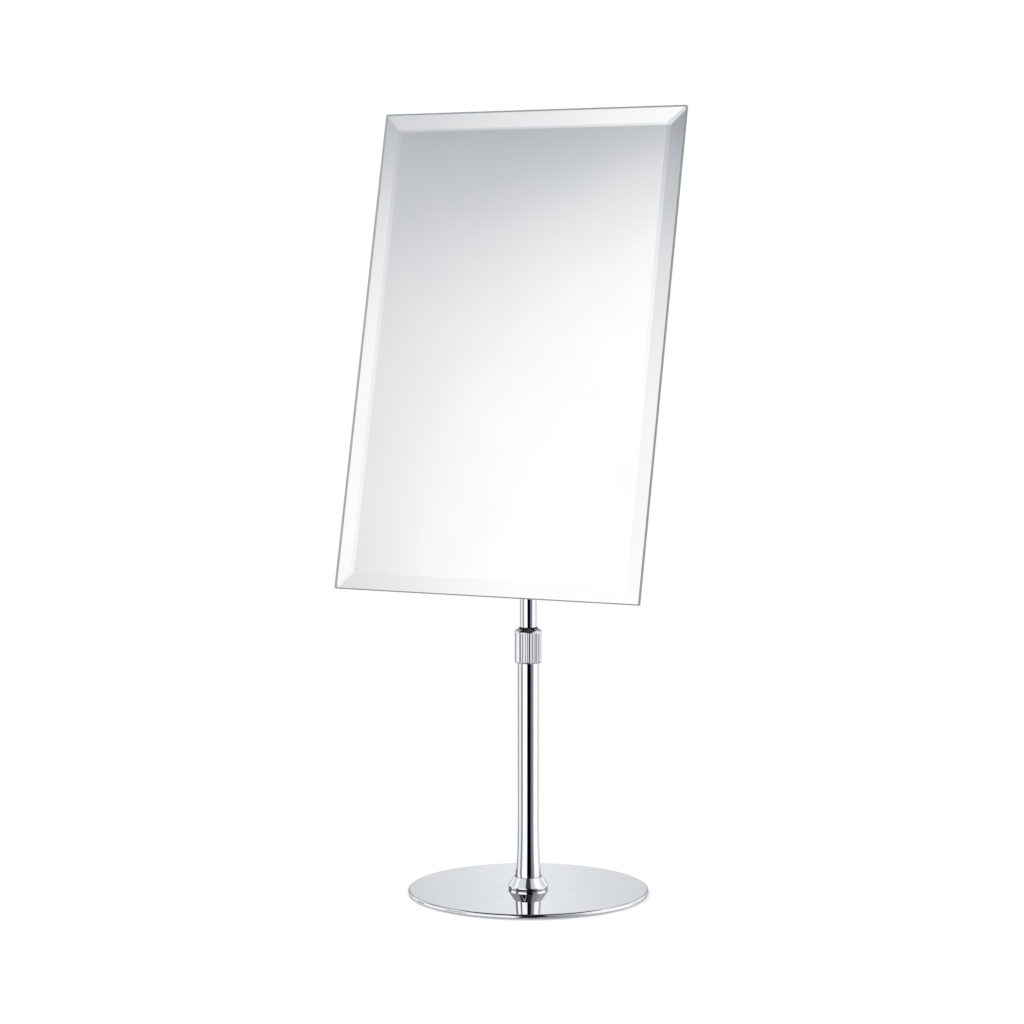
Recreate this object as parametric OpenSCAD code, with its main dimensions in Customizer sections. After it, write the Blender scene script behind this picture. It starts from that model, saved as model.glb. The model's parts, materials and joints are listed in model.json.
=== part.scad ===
// Table mirror: a bevelled pane on a tilting hinge, a telescopic column with a knurled
// clamp nut, and a round weighted base. Millimetres, +Z up. The origin lies on the table,
// under the column, and the glass faces -Y. It stands at its lowest height.

/* [Mirror pane] */
// Width of the glass
glass_w = 205; // [150:1:260]
// Height of the glass
glass_h = 300; // [220:1:380]
// Thickness of the glass
glass_t = 4; // [3:0.5:6]
// Width of the bevel round the front
bevel_w = 11; // [5:0.5:20]
// Drop of the bevel at the edge of the glass
bevel_drop = 1.4; // [0.6:0.1:2]
// Thickness of the silver and its paint
backing_t = 0.2; // [0.1:0.05:0.5]
// Lean of the glass from upright, as it stands
rest_tilt = 13; // [0:0.5:20]

/* [Back panel] */
// Edge of the glass to the edge of the panel
panel_inset = 5; // [2:0.5:12]
// Thickness of the panel
panel_t = 1.5; // [1:0.1:3]
// Corner radius of the panel
panel_corner = 6; // [2:0.5:15]
// Thickness of the foam tape
tape_t = 2; // [1.8:0.1:3]
// Width of the foam tape
tape_w = 14; // [8:1:20]
// Edge of the panel to the tape
tape_inset = 6; // [2:0.5:15]
// Space left between the tapping plate and the silver
tapping_space = 0.4; // [0.2:0.05:0.8]

/* [Hinge] */
// Hinge axis to the rear face of the flange
standoff = 20; // [17:0.5:30]
// Diameter of the round flange
flange_d = 48; // [42:1:60]
// Thickness of the flange
flange_t = 2.7; // [2:0.1:4]
// Diameter of the circle of flange screws
screw_circle = 34; // [31:0.5:36]
// Thread diameter of the flange screws
screw_d = 3; // [2.5:0.5:4]
// Width of the lug between the cheeks
lug_w = 7; // [5:0.5:12]
// Height of the lug, and of its round end
lug_h = 16; // [14:0.5:18]
// Diameter of the pivot bolt
pivot_d = 5; // [4:0.5:6]
// Diameter of the pivot bolt's head
pivot_head_d = 9; // [8:0.5:11]
// Height of the pivot bolt's head
pivot_head_h = 2.8; // [2:0.1:4]
// Wall of the sleeve in the lug
sleeve_wall = 0.8; // [0.5:0.1:1.5]
// Thickness of each friction washer
friction_t = 0.8; // [0.5:0.1:1.5]
// Thickness of each cheek of the yoke
cheek_t = 2.8; // [2:0.1:5]
// Space between the lug's end and the floor of the yoke
floor_gap = 1.4; // [1.2:0.1:3]
// Hinge axis to the end of the inner tube
yoke_neck = 22; // [19:0.5:40]
// Length of the yoke's spigot inside the inner tube
spigot_len = 18; // [12:0.5:30]

/* [Column] */
// Outside diameter of the inner tube
rod_d = 10.5; // [9:0.5:14]
// Wall of the inner tube
rod_wall = 1; // [0.8:0.1:1.4]
// Space between the two tubes
slide_gap = 0.5; // [0.4:0.05:1]
// Wall of the outer tube
tube_wall = 1; // [0.8:0.1:2]
// Length of the outer tube
tube_len = 148.6; // [144:0.2:260]
// Growth of the outer tube's radius at its foot
foot_spread = 1.23; // [0.5:0.01:4]
// Height of the flare above the foot collar
flare_h = 34.3; // [15:0.1:60]
// Travel of the height slide
travel = 100; // [40:1:102]
// Length of the guide bush
bush_len = 10.5; // [6:0.5:14]

/* [Clamp] */
// Wall of the threaded ferrule round the outer tube
ferrule_wall = 0.73; // [0.6:0.01:1.5]
// Length of the ferrule below the end of the outer tube
ferrule_grip = 7.7; // [4:0.1:9]
// Thickness of the ferrule's lip over the outer tube
lip_t = 2.8; // [2.4:0.1:5]
// Wall of the clamp nut round its thread
nut_wall = 1.05; // [0.9:0.05:3]
// Reach of the clamp nut below the end of the outer tube
nut_drop = 9.7; // [9.2:0.1:20]
// Roof of the clamp nut above the thrust washer
nut_roof = 2.6; // [2.4:0.1:6]
// Height of the clamp nut's top cone
nut_cone_h = 1.3; // [0.8:0.1:2]
// Radius of the round shoulder under the clamp nut's cone
nut_shoulder = 2.1; // [0.5:0.1:2.2]
// Height of the clamp nut's lower chamfer
nut_chamfer = 1.2; // [0.4:0.1:2]
// Number of knurl grooves round the clamp nut
grooves = 32; // [16:1:40]
// Width of a knurl groove
groove_w = 0.9; // [0.5:0.05:1.2]
// Depth of a knurl groove
groove_depth = 0.3; // [0.2:0.05:0.6]
// Height of the collet
collet_h = 7; // [5:0.5:12]
// Number of slots in the collet
collet_slots = 4; // [3:1:6]
// Thickness of the thrust washer
thrust_t = 1.2; // [0.8:0.1:2]
// Width of the wiper ring
wiper_w = 0.83; // [0.5:0.01:1.5]
// Height of the wiper's lip above the clamp nut
wiper_stand = 0.9; // [0.5:0.1:2]

/* [Base] */
// Diameter of the base plate
base_d = 150; // [130:1:220]
// Thickness of the base plate
plate_t = 3; // [3:0.1:8]
// Flat left between the two round edges of the base plate
rim_flat = 0.2; // [0.2:0.1:2]
// Thickness of the non-slip pad
pad_t = 0.5; // [0.5:0.1:3]
// Edge of the plate to the edge of the pad
pad_inset = 3.5; // [1:0.5:10]
// Height of the foot collar
collar_h = 7.5; // [6:0.1:15]
// Floor of the foot collar under the outer tube
collar_web = 2.2; // [1:0.1:3]
// Space between the foot collar and the outer tube
collar_gap = 0.3; // [0.1:0.05:0.6]
// Rim of the foot collar at its top
collar_rim = 0.67; // [0.3:0.01:2]
// Growth of the foot collar's radius from its top to its foot
collar_spread = 3.55; // [1.5:0.05:8]
// Height of the round edge at the collar's foot
collar_edge = 1.8; // [0.5:0.1:3]
// Thread diameter of the base screw
base_screw_d = 5; // [4:0.5:6]
// Length of the base screw
base_screw_len = 18; // [14:0.5:22]
// Length of the threaded plug in the outer tube's foot
plug_len = 20; // [19:0.5:26]

/* [Clearances] */
// Radial clearance of a piece that turns or slides
running = 0.05; // [0.02:0.01:0.1]
// Radial clearance of a piece that is pressed or screwed home
seated = 0.03; // [0.01:0.01:0.05]
// Gap between a moving piece and its stop
stop_gap = 0.2; // [0.1:0.05:0.4]
// Height of the glass above the clamp nut when it is upright
glass_clear = 15.6; // [12:0.1:60]

/* [Hidden] */
$fn = 96;
over = 1;
round_steps = 6;
flare_steps = 12;

// The base and the outer tube, from the table up
plate_top = pad_t + plate_t;
plate_edge = (plate_t - rim_flat) / 2;
collar_top = plate_top + collar_h;
tube_z0 = plate_top + collar_web;
tube_z1 = tube_z0 + tube_len;
rod_r = rod_d / 2;
bore_r = rod_r + slide_gap;
tube_r = bore_r + tube_wall;
foot_r = tube_r + foot_spread;
flare_top = collar_top + flare_h;
flare_arc = (flare_h * flare_h + foot_spread * foot_spread) / (2 * foot_spread);
collar_bore = foot_r + collar_gap;
collar_top_r = collar_bore + collar_rim;
collar_r = collar_top_r + collar_spread;
collar_tuck = 0.6;

// The base screw, a countersunk one, and the plug that it pulls down
base_screw_r = base_screw_d / 2;
head_cone = 2.3;
head_sink = 0.1;
screw_play = 0.25;
socket_af = 3;
socket_depth = 1.6;
plug_z1 = tube_z0 + plug_len;

// The clamp, from the end of the outer tube up
thread_r = tube_r + seated + ferrule_wall;
ferrule_z0 = tube_z1 - ferrule_grip;
lip_top = tube_z1 + lip_t;
lip_play = 0.2;
lip_r = rod_r + lip_play;
seat_depth = 1.8;
seat_z = lip_top - seat_depth;
seat_land = 0.2;
seat_r = lip_r + seat_land;
seat_spread = 1;
collet_r = seat_r + seat_spread - running;
collet_z1 = seat_z + collet_h;
slot_w = 0.8;
slot_bridge = 1.2;
thrust_z0 = collet_z1 + running;
thrust_z1 = thrust_z0 + thrust_t;
nut_bore = thread_r + running;
nut_r = nut_bore + nut_wall;
nut_z0 = tube_z1 - nut_drop;
nut_ceiling = thrust_z1 + running;
nut_z1 = nut_ceiling + nut_roof;
wiper_r = rod_r + running + wiper_w;
wiper_ledge = 0.8;
wiper_lip = 0.28;
wiper_slope = 0.35;
mouth_rim = 0.22;
nut_top_r = wiper_r + seated + mouth_rim;
mouth_play = 0.1;
shoulder_turn = atan((nut_r - nut_top_r) / nut_cone_h);
shoulder_z = nut_z1 - nut_cone_h - nut_shoulder * tan(shoulder_turn / 2);
knurl_margin = 0.3;
knurl_rise = 0.6;
knurl_turn = 3.9;
groove_clear = 0.05;

// The slide, from the stop under the lip down
bush_z1 = tube_z1 - stop_gap - travel;
bush_z0 = bush_z1 - bush_len;
neck_cut = 0.5;
neck_r = rod_r - neck_cut;
bush_play = 0.1;
rod_z0 = bush_z0 - bush_play;
rod_bore = rod_r - rod_wall;
end_flange = 1.6;
end_spigot = 8;
buffer_top = rod_z0 - end_flange - stop_gap;
buffer_play = 0.35;
buffer_r = bore_r - buffer_play;

// The hinge, outwards along its axis from the middle of the lug
pivot_z = nut_z1 + glass_clear + glass_h / 2;
rod_z1 = pivot_z - yoke_neck;
pivot_r = pivot_d / 2;
sleeve_r = pivot_r + running + sleeve_wall;
lug_x = lug_w / 2;
cheek_x = lug_x + running + friction_t;
face_x = cheek_x + cheek_t;
friction_margin = 0.5;
friction_r = lug_h / 2 - friction_margin;
yoke_r = sqrt(pow(face_x, 2) + pow(pivot_head_d / 2, 2));
yoke_floor = pivot_z - lug_h / 2 - floor_gap;
washer_t = 0.8;
split_t = 1.2;
split_w = 1;
split_margin = 0.3;
cap_af = 1.6 * pivot_d;
cap_hex_h = 3.4;
cap_dome_h = 3.2;
cap_shoulder = 0.2;
grub_d = 3;
grub_len = 3;
grub_drop = 9;
boss_h = 5;
boss_spread = 3;
boss_margin = 1;

// The head, forwards from the flange
panel_back = -standoff - flange_t;
tape_back = panel_back - panel_t;
backing_back = tape_back - tape_t;
glass_back = backing_back - backing_t;
glass_front = glass_back - glass_t;
panel_w = glass_w - 2 * panel_inset;
panel_h = glass_h - 2 * panel_inset;
tapping_t = tape_t - tapping_space;
tape_joint = 2;
screw_r = screw_d / 2;
hole_play = 0.2;
screw_hole = screw_r + hole_play;
screw_head_r = 0.92 * screw_d;
screw_head_h = 1.8;
head_taper = 0.6;
cross_len = 1.2 * screw_head_r;
cross_w = 0.6;
screw_spare = tapping_space / 2;
backing_margin = 0.3;

// Turns an outline of radius and height into a solid of revolution.
module turned(points) {
    rotate_extrude() polygon(points);
}

// A plain ring from one height to another.
module ring(r_out, r_in, z0, z1) {
    difference() {
        translate([0, 0, z0]) cylinder(r = r_out, h = z1 - z0);
        translate([0, 0, z0 - over]) cylinder(r = r_in, h = z1 - z0 + 2 * over);
    }
}

// A rectangle with round corners, about the origin.
module rounded_rect(w, h, r) {
    square([w - 2 * r, h], center = true);
    square([w, h - 2 * r], center = true);
    for (x = [-1, 1], y = [-1, 1])
        translate([x * (w / 2 - r), y * (h / 2 - r)]) circle(r = r);
}

// Points along a quarter round of radius r about (x, z), from one angle to another.
function quarter(x, z, r, from) =
    [for (i = [0 : round_steps]) let (a = from + 90 * i / round_steps) [x + r * cos(a), z + r * sin(a)]];

// Lays the child's +Z along +X, at a distance x from the middle of the hinge.
module on_pivot(x) {
    translate([x, 0, pivot_z]) rotate([0, 90, 0]) children();
}

// Leans the child back about the hinge axis: its origin is the hinge, and -Y its front.
module in_head() {
    translate([0, 0, pivot_z]) rotate([-rest_tilt, 0, 0]) children();
}

// A plate of the child's outline, from its rear face forwards.
module slab(rear, t) {
    translate([0, rear, 0]) rotate([90, 0, 0]) linear_extrude(t) children();
}

// Places a child at each flange screw, with +Z pointing out of the rear face.
module at_screws() {
    for (a = [45 : 90 : 315])
        translate([screw_circle / 2 * cos(a), -standoff, screw_circle / 2 * sin(a)])
            rotate([-90, 0, 0]) children();
}

module base_pad() {
    color("dimgray") cylinder(r = base_d / 2 - pad_inset, h = pad_t);
}

module base_plate() {
    edge_x = base_d / 2 - plate_edge;
    color("silver")
        difference() {
            turned(concat([[0, pad_t]], quarter(edge_x, pad_t + plate_edge, plate_edge, -90),
                quarter(edge_x, plate_top - plate_edge, plate_edge, 0), [[0, plate_top]]));
            translate([0, 0, pad_t - over])
                cylinder(r = base_screw_r + screw_play, h = plate_t + 2 * over);
            countersink();
        }
}

// The cone that the base screw's head sinks into.
module countersink() {
    spread = head_cone + screw_play;
    translate([0, 0, pad_t])
        cylinder(r1 = base_screw_r + spread, r2 = base_screw_r, h = spread);
}

module base_screw() {
    head_z = pad_t + head_sink;
    color("gray")
        difference() {
            turned([[0, head_z], [base_screw_r + head_cone, head_z],
                [base_screw_r, head_z + head_cone], [base_screw_r, head_z + base_screw_len],
                [0, head_z + base_screw_len]]);
            hex_socket(head_z);
        }
}

// A hexagonal key socket that opens downwards at height z.
module hex_socket(z) {
    translate([0, 0, z - over])
        cylinder(d = socket_af / cos(30), h = socket_depth + over, $fn = 6);
}

module foot_collar() {
    foot = [for (i = [0 : round_steps]) let (a = 90 * i / round_steps)
        [collar_r - collar_tuck * (1 - sin(a)), plate_top + collar_edge * (1 - cos(a))]];
    color("silver")
        difference() {
            turned(concat([[0, plate_top]], foot, [[collar_top_r, collar_top], [0, collar_top]]));
            translate([0, 0, tube_z0]) cylinder(r = collar_bore, h = collar_h);
            translate([0, 0, plate_top - over])
                cylinder(r = base_screw_r + screw_play, h = collar_web + 2 * over);
        }
}

module foot_plug() {
    color("tan") ring(bore_r - seated, base_screw_r + seated, tube_z0, plug_z1);
}

module outer_tube() {
    arc = [for (i = [0 : flare_steps]) let (z = collar_top + flare_h * i / flare_steps)
        [tube_r + flare_arc - sqrt(pow(flare_arc, 2) - pow(flare_top - z, 2)), z]];
    color("silver")
        turned(concat([[bore_r, tube_z0], [foot_r, tube_z0]], arc,
            [[tube_r, tube_z1], [bore_r, tube_z1]]));
}

module stop_buffer() {
    color("dimgray") translate([0, 0, plug_z1]) cylinder(r = buffer_r, h = buffer_top - plug_z1);
}

module tube_ferrule() {
    inner = tube_r + seated;
    color("tan")
        turned([[inner, ferrule_z0], [thread_r, ferrule_z0], [thread_r, lip_top],
            [seat_r + seat_spread, lip_top], [seat_r, seat_z], [lip_r, seat_z],
            [lip_r, tube_z1], [inner, tube_z1]]);
}

module collet() {
    inner = rod_r + running;
    color("white")
        difference() {
            turned([[inner, seat_z], [seat_r - running, seat_z], [collet_r, lip_top],
                [collet_r, collet_z1], [inner, collet_z1]]);
            for (i = [0 : collet_slots - 1])
                rotate(i * 360 / collet_slots)
                    translate([0, -slot_w / 2, seat_z - over])
                        cube([collet_r + over, slot_w, collet_h - slot_bridge + over]);
        }
}

module guide_bush() {
    color("white") ring(bore_r - running, neck_r + running, bush_z0, bush_z1);
}

module thrust_washer() {
    color("tan") ring(nut_bore - seated, lip_r, thrust_z0, thrust_z1);
}

module clamp_nut() {
    recess_z = nut_ceiling + wiper_ledge;
    shoulder = [for (i = [0 : round_steps]) let (a = shoulder_turn * i / round_steps)
        [nut_r - nut_shoulder * (1 - cos(a)), shoulder_z + nut_shoulder * sin(a)]];
    color("silver")
        difference() {
            turned(concat([[0, nut_z0], [nut_r - nut_chamfer, nut_z0],
                [nut_r, nut_z0 + nut_chamfer]], shoulder, [[nut_top_r, nut_z1], [0, nut_z1]]));
            for (i = [0 : grooves - 1]) rotate(knurl_turn + i * 360 / grooves) groove();
            translate([0, 0, nut_z0 - over]) cylinder(r = nut_bore, h = nut_ceiling - nut_z0 + over);
            translate([0, 0, nut_ceiling - over]) cylinder(r = lip_r + mouth_play, h = nut_roof + 2 * over);
            translate([0, 0, recess_z]) cylinder(r = wiper_r + seated, h = nut_roof);
        }
}

// The prism that cuts one groove of the straight knurl, at the +X side of the nut.
module groove() {
    z0 = nut_z0 + nut_chamfer + knurl_margin;
    z1 = shoulder_z + knurl_rise;
    mouth = groove_w / 2 * (1 + groove_clear / groove_depth);
    translate([0, 0, z0])
        linear_extrude(z1 - z0)
            polygon([[nut_r - groove_depth, 0], [nut_r + groove_clear, -mouth],
                [nut_r + groove_clear, mouth]]);
}

// A square ring in the nut's recess, with a thin lip that stands up round the inner tube.
module wiper_ring() {
    wiped_r = rod_r + running;
    z0 = nut_ceiling + wiper_ledge;
    z1 = nut_z1 + wiper_stand;
    color("black")
        turned([[wiped_r, z0], [wiper_r, z0], [wiper_r, nut_z1],
            [wiped_r + wiper_lip, nut_z1 + wiper_slope], [wiped_r + wiper_lip, z1], [wiped_r, z1]]);
}

module inner_tube() {
    color("silver")
        difference() {
            turned([[rod_bore, rod_z0], [neck_r, rod_z0], [neck_r, bush_z1 + bush_play],
                [rod_r, bush_z1 + bush_play], [rod_r, rod_z1], [rod_bore, rod_z1]]);
            translate([0, 0, rod_z1 - grub_drop]) rotate([-90, 0, 0])
                cylinder(d = grub_d + 2 * seated, h = rod_d);
        }
}

module tube_end_plug() {
    color("gray")
        turned([[0, rod_z0 - end_flange], [rod_r, rod_z0 - end_flange], [rod_r, rod_z0],
            [rod_bore - seated, rod_z0], [rod_bore - seated, rod_z0 + end_spigot],
            [0, rod_z0 + end_spigot]]);
}

module yoke() {
    color("silver")
        difference() {
            union() {
                yoke_outline();
                translate([0, 0, rod_z1 - spigot_len])
                    cylinder(r = rod_bore - seated, h = spigot_len + over);
            }
            translate([-cheek_x, -yoke_r - over, yoke_floor])
                cube([2 * cheek_x, 2 * (yoke_r + over), 2 * lug_h]);
            for (side = [-1, 1])
                on_pivot(side * (face_x + yoke_r))
                    cylinder(r = pivot_head_d / 2 + running, h = 2 * yoke_r, center = true);
            on_pivot(-yoke_r - over) cylinder(r = pivot_r + running, h = 2 * (yoke_r + over));
            translate([0, 0, rod_z1 - grub_drop]) rotate([-90, 0, 0])
                cylinder(d = grub_d + 2 * seated, h = rod_d);
        }
}

// The round body of the yoke, which grows out of the inner tube like a bud and ends as a ball.
module yoke_outline() {
    rise = yoke_floor - rod_z1;
    bud = [for (i = [0 : flare_steps]) let (t = i / flare_steps)
        [rod_r + (yoke_r - rod_r) * (1 - cos(180 * t)) / 2, rod_z1 + rise * t]];
    turned(concat([[0, rod_z1]], bud, [[yoke_r, pivot_z]]));
    translate([0, 0, pivot_z]) sphere(r = yoke_r);
}

module yoke_grub_screw() {
    color("dimgray")
        translate([0, rod_r - grub_len, rod_z1 - grub_drop]) rotate([-90, 0, 0])
            difference() {
                cylinder(d = grub_d, h = grub_len);
                translate([0, 0, grub_len / 2])
                    cylinder(d = grub_d / 2 / cos(30), h = grub_len, $fn = 6);
            }
}

module pivot_bolt() {
    head_r = pivot_head_d / 2;
    dome = (pow(head_r, 2) + pow(pivot_head_h, 2)) / (2 * pivot_head_h);
    shank = 2 * face_x + washer_t + split_t + cap_hex_h;
    color("silver")
        difference() {
            union() {
                on_pivot(face_x)
                    intersection() {
                        cylinder(r = head_r, h = pivot_head_h);
                        translate([0, 0, pivot_head_h - dome]) sphere(r = dome);
                    }
                on_pivot(face_x - shank) cylinder(r = pivot_r, h = shank + over);
            }
            on_pivot(face_x + pivot_head_h - socket_depth)
                cylinder(d = socket_af / cos(30), h = socket_depth + over, $fn = 6);
        }
}

module friction_washers() {
    color("white")
        for (x = [-cheek_x, lug_x + running])
            on_pivot(x) ring(friction_r, pivot_r + running, 0, friction_t);
}

module pivot_washer() {
    color("silver")
        on_pivot(-face_x - washer_t) ring(pivot_head_d / 2, pivot_r + running, 0, washer_t);
}

module spring_washer() {
    color("gray")
        on_pivot(-face_x - washer_t - split_t)
            difference() {
                ring(pivot_head_d / 2 - split_margin, pivot_r + running, 0, split_t);
                translate([0, -split_w / 2, -over]) cube([pivot_head_d, split_w, split_t + 2 * over]);
            }
}

module cap_nut() {
    dome_r = cap_af / 2 - cap_shoulder;
    ball = (pow(dome_r, 2) + pow(cap_dome_h, 2)) / (2 * cap_dome_h);
    color("silver")
        translate([-face_x - washer_t - split_t, 0, pivot_z]) rotate([0, -90, 0])
            difference() {
                union() {
                    cylinder(d = cap_af / cos(30), h = cap_hex_h, $fn = 6);
                    translate([0, 0, cap_hex_h])
                        intersection() {
                            translate([0, 0, -over]) cylinder(r = dome_r, h = cap_dome_h + over);
                            translate([0, 0, cap_dome_h - ball]) sphere(r = ball);
                        }
                }
                translate([0, 0, -over]) cylinder(r = pivot_r + seated, h = cap_hex_h + 2 * over);
            }
}

module pivot_sleeve() {
    color("white") on_pivot(-lug_x) ring(sleeve_r, pivot_r + running, 0, lug_w);
}

module hinge_bracket() {
    color("silver")
        in_head()
            difference() {
                union() {
                    slab(-standoff, flange_t) circle(d = flange_d);
                    translate([-lug_x, -standoff - over, -lug_h / 2])
                        cube([lug_w, standoff + over, lug_h]);
                    rotate([0, 90, 0]) cylinder(d = lug_h, h = lug_w, center = true);
                    translate([0, -standoff - over, 0]) rotate([-90, 0, 0])
                        cylinder(r1 = lug_h / 2 + boss_spread, r2 = lug_x + boss_margin, h = boss_h + over);
                }
                rotate([0, 90, 0]) cylinder(r = sleeve_r + seated, h = lug_w + 2 * over, center = true);
                at_screws() translate([0, 0, -flange_t - over])
                    cylinder(r = screw_hole, h = flange_t + 2 * over);
            }
}

module bracket_screws() {
    reach = flange_t + panel_t + tapping_t + screw_spare;
    color("silver")
        in_head() at_screws()
            difference() {
                union() {
                    translate([0, 0, -reach]) cylinder(r = screw_r, h = reach + over / 2);
                    cylinder(r1 = screw_head_r, r2 = screw_head_r - head_taper, h = screw_head_h);
                }
                for (a = [0, 90])
                    rotate(a) translate([0, 0, screw_head_h])
                        cube([cross_len, cross_w, screw_head_h], center = true);
            }
}

module tapping_plate() {
    color("gray")
        in_head()
            difference() {
                slab(tape_back, tapping_t) circle(d = flange_d);
                at_screws() translate([0, 0, tape_back - tapping_t + standoff - over])
                    cylinder(r = screw_r + seated, h = tapping_t + 2 * over);
            }
}

module back_panel() {
    color("dimgray")
        in_head()
            difference() {
                slab(panel_back, panel_t) rounded_rect(panel_w, panel_h, panel_corner);
                at_screws() translate([0, 0, -flange_t - panel_t - over])
                    cylinder(r = screw_hole, h = panel_t + 2 * over);
            }
}

module tape_strips() {
    side_x = panel_w / 2 - tape_inset - tape_w / 2;
    end_z = panel_h / 2 - tape_inset - tape_w / 2;
    color("dimgray")
        in_head()
            slab(tape_back, tape_t) {
                for (side = [-1, 1])
                    translate([side * side_x, 0]) square([tape_w, panel_h - 2 * tape_inset], center = true);
                for (side = [-1, 1])
                    translate([0, side * end_z])
                        square([2 * side_x - tape_w - 2 * tape_joint, tape_w], center = true);
            }
}

module mirror_backing() {
    color("slategray")
        in_head()
            slab(backing_back, backing_t)
                square([glass_w - 2 * backing_margin, glass_h - 2 * backing_margin], center = true);
}

module mirror_glass() {
    color("lightcyan")
        in_head()
            difference() {
                slab(glass_back, glass_t) square([glass_w, glass_h], center = true);
                for (a = [0, 180]) rotate([0, a, 0]) bevel_cut(glass_w / 2, glass_h);
                for (a = [90, 270]) rotate([0, a, 0]) bevel_cut(glass_h / 2, glass_w);
            }
}

// The prism that lies in front of one bevel, along an edge of the given length.
module bevel_cut(half, run) {
    slope = bevel_drop / bevel_w;
    linear_extrude(run + 2 * over, center = true)
        polygon([[half - bevel_w, glass_front], [half + over, glass_front + bevel_drop + slope * over],
            [half + over, glass_front - over], [half - bevel_w, glass_front - over]]);
}

base_pad();
base_plate();
base_screw();
foot_collar();
foot_plug();
outer_tube();
stop_buffer();
tube_ferrule();
collet();
guide_bush();
thrust_washer();
clamp_nut();
wiper_ring();
inner_tube();
tube_end_plug();
yoke();
yoke_grub_screw();
pivot_bolt();
friction_washers();
pivot_washer();
spring_washer();
cap_nut();
pivot_sleeve();
hinge_bracket();
bracket_screws();
tapping_plate();
back_panel();
tape_strips();
mirror_backing();
mirror_glass();
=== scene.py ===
# %% [markdown]
# A bevelled table mirror on a chromed column.
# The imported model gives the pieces, their places and their joints. This lesson gives them their
# looks: turned and plated metal, a knurled nut, silvered glass with a ground edge, and a black
# back panel. Pieces are modelled in millimetres and written to the scene in metres.

import json
import math

import bmesh
import bpy
from mathutils import Matrix, Vector

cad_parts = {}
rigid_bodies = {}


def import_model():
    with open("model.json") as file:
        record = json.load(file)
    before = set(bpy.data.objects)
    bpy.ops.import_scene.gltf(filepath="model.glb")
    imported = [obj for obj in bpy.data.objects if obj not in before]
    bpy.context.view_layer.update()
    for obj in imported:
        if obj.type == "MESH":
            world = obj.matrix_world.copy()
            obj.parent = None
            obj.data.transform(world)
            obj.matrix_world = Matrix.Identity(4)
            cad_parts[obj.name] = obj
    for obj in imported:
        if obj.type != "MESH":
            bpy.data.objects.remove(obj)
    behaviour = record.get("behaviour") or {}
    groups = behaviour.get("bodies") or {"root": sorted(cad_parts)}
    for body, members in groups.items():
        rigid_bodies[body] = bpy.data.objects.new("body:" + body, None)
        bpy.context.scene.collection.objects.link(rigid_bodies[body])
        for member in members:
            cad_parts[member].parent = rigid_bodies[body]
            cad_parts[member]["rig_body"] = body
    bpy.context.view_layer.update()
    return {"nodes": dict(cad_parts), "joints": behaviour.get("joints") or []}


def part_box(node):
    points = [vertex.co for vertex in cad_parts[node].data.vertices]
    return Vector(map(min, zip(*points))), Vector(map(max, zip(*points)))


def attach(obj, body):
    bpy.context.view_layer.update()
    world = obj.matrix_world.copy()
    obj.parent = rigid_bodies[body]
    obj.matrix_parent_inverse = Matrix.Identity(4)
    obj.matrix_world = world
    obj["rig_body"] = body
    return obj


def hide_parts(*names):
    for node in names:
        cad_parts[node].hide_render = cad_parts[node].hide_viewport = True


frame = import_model()
MM = 0.001

# %% [markdown]
# The camera comes first, because what polished metal mirrors depends on where it
# stands. It looks a little down on the mirror from its right-hand front, through a long lens,
# as a catalogue picture does. A long lens keeps the pane's opposite edges nearly parallel.

# %% Camera
CAMERA_AZIMUTH = 26.445
CAMERA_DISTANCE = 1.685
CAMERA_HEIGHT = 0.3756
CAMERA_YAW = 26.784
CAMERA_DOWN = 4.659
CAMERA_ROLL = 0.024
LENS = 96.445


def on_circle(degrees, radius, height):
    """A point round the mirror: 0 degrees is in front of it, 90 is at its right-hand side."""
    a = math.radians(degrees)
    return Vector((radius * math.sin(a), -radius * math.cos(a), height))


def into_scene(name, data):
    """A new object in the scene, at the origin."""
    thing = bpy.data.objects.new(name, data)
    bpy.context.scene.collection.objects.link(thing)
    return thing


camera_data = bpy.data.cameras.new("camera")
camera_data.lens = LENS
camera_data.clip_start = 0.05
camera = into_scene("camera", camera_data)
camera.location = on_circle(CAMERA_AZIMUTH, CAMERA_DISTANCE, CAMERA_HEIGHT)
camera.rotation_euler = [math.radians(a) for a in (90 - CAMERA_DOWN, CAMERA_ROLL, CAMERA_YAW)]
bpy.context.scene.camera = camera
bpy.context.scene.view_settings.view_transform = "Standard"
print("the camera stands", round(camera.location.length, 3), "m from the foot of the column")

# %% [markdown]
# Colours are written as sRGB hex, as in a paint chart, and one function turns them to the
# linear values that shaders work in. One small function adds a shader node with its settings
# and links, so that each material below reads as a short list of what it is made of.


# %% Colour and node helpers
def linear(code):
    """An sRGB hex colour as linear red, green, blue and alpha."""
    parts = [int(code[i:i + 2], 16) / 255 for i in (1, 3, 5)]
    return [c / 12.92 if c <= 0.04045 else ((c + 0.055) / 1.055) ** 2.4 for c in parts] + [1]


def add(tree, kind, inputs=(), stops=(), **settings):
    """Adds a shader node. Inputs are values or other nodes' outputs; stops are a ramp's colours."""
    node = tree.nodes.new("ShaderNode" + kind)
    for name, value in settings.items():
        setattr(node, name, value)
    for name, value in dict(inputs).items():
        if isinstance(value, bpy.types.NodeSocket):
            tree.links.new(value, node.inputs[name])
        else:
            node.inputs[name].default_value = value
    for i, (place, colour) in enumerate(stops):
        ramp = node.color_ramp.elements
        stop = ramp[i] if i < 2 else ramp.new(place)
        stop.position = place
        stop.color = linear(colour)
    return node


def maths(tree, operation, a, b=0.0):
    """The result of one sum on numbers or sockets."""
    return add(tree, "Math", {0: a, 1: b}, operation=operation).outputs[0]
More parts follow.
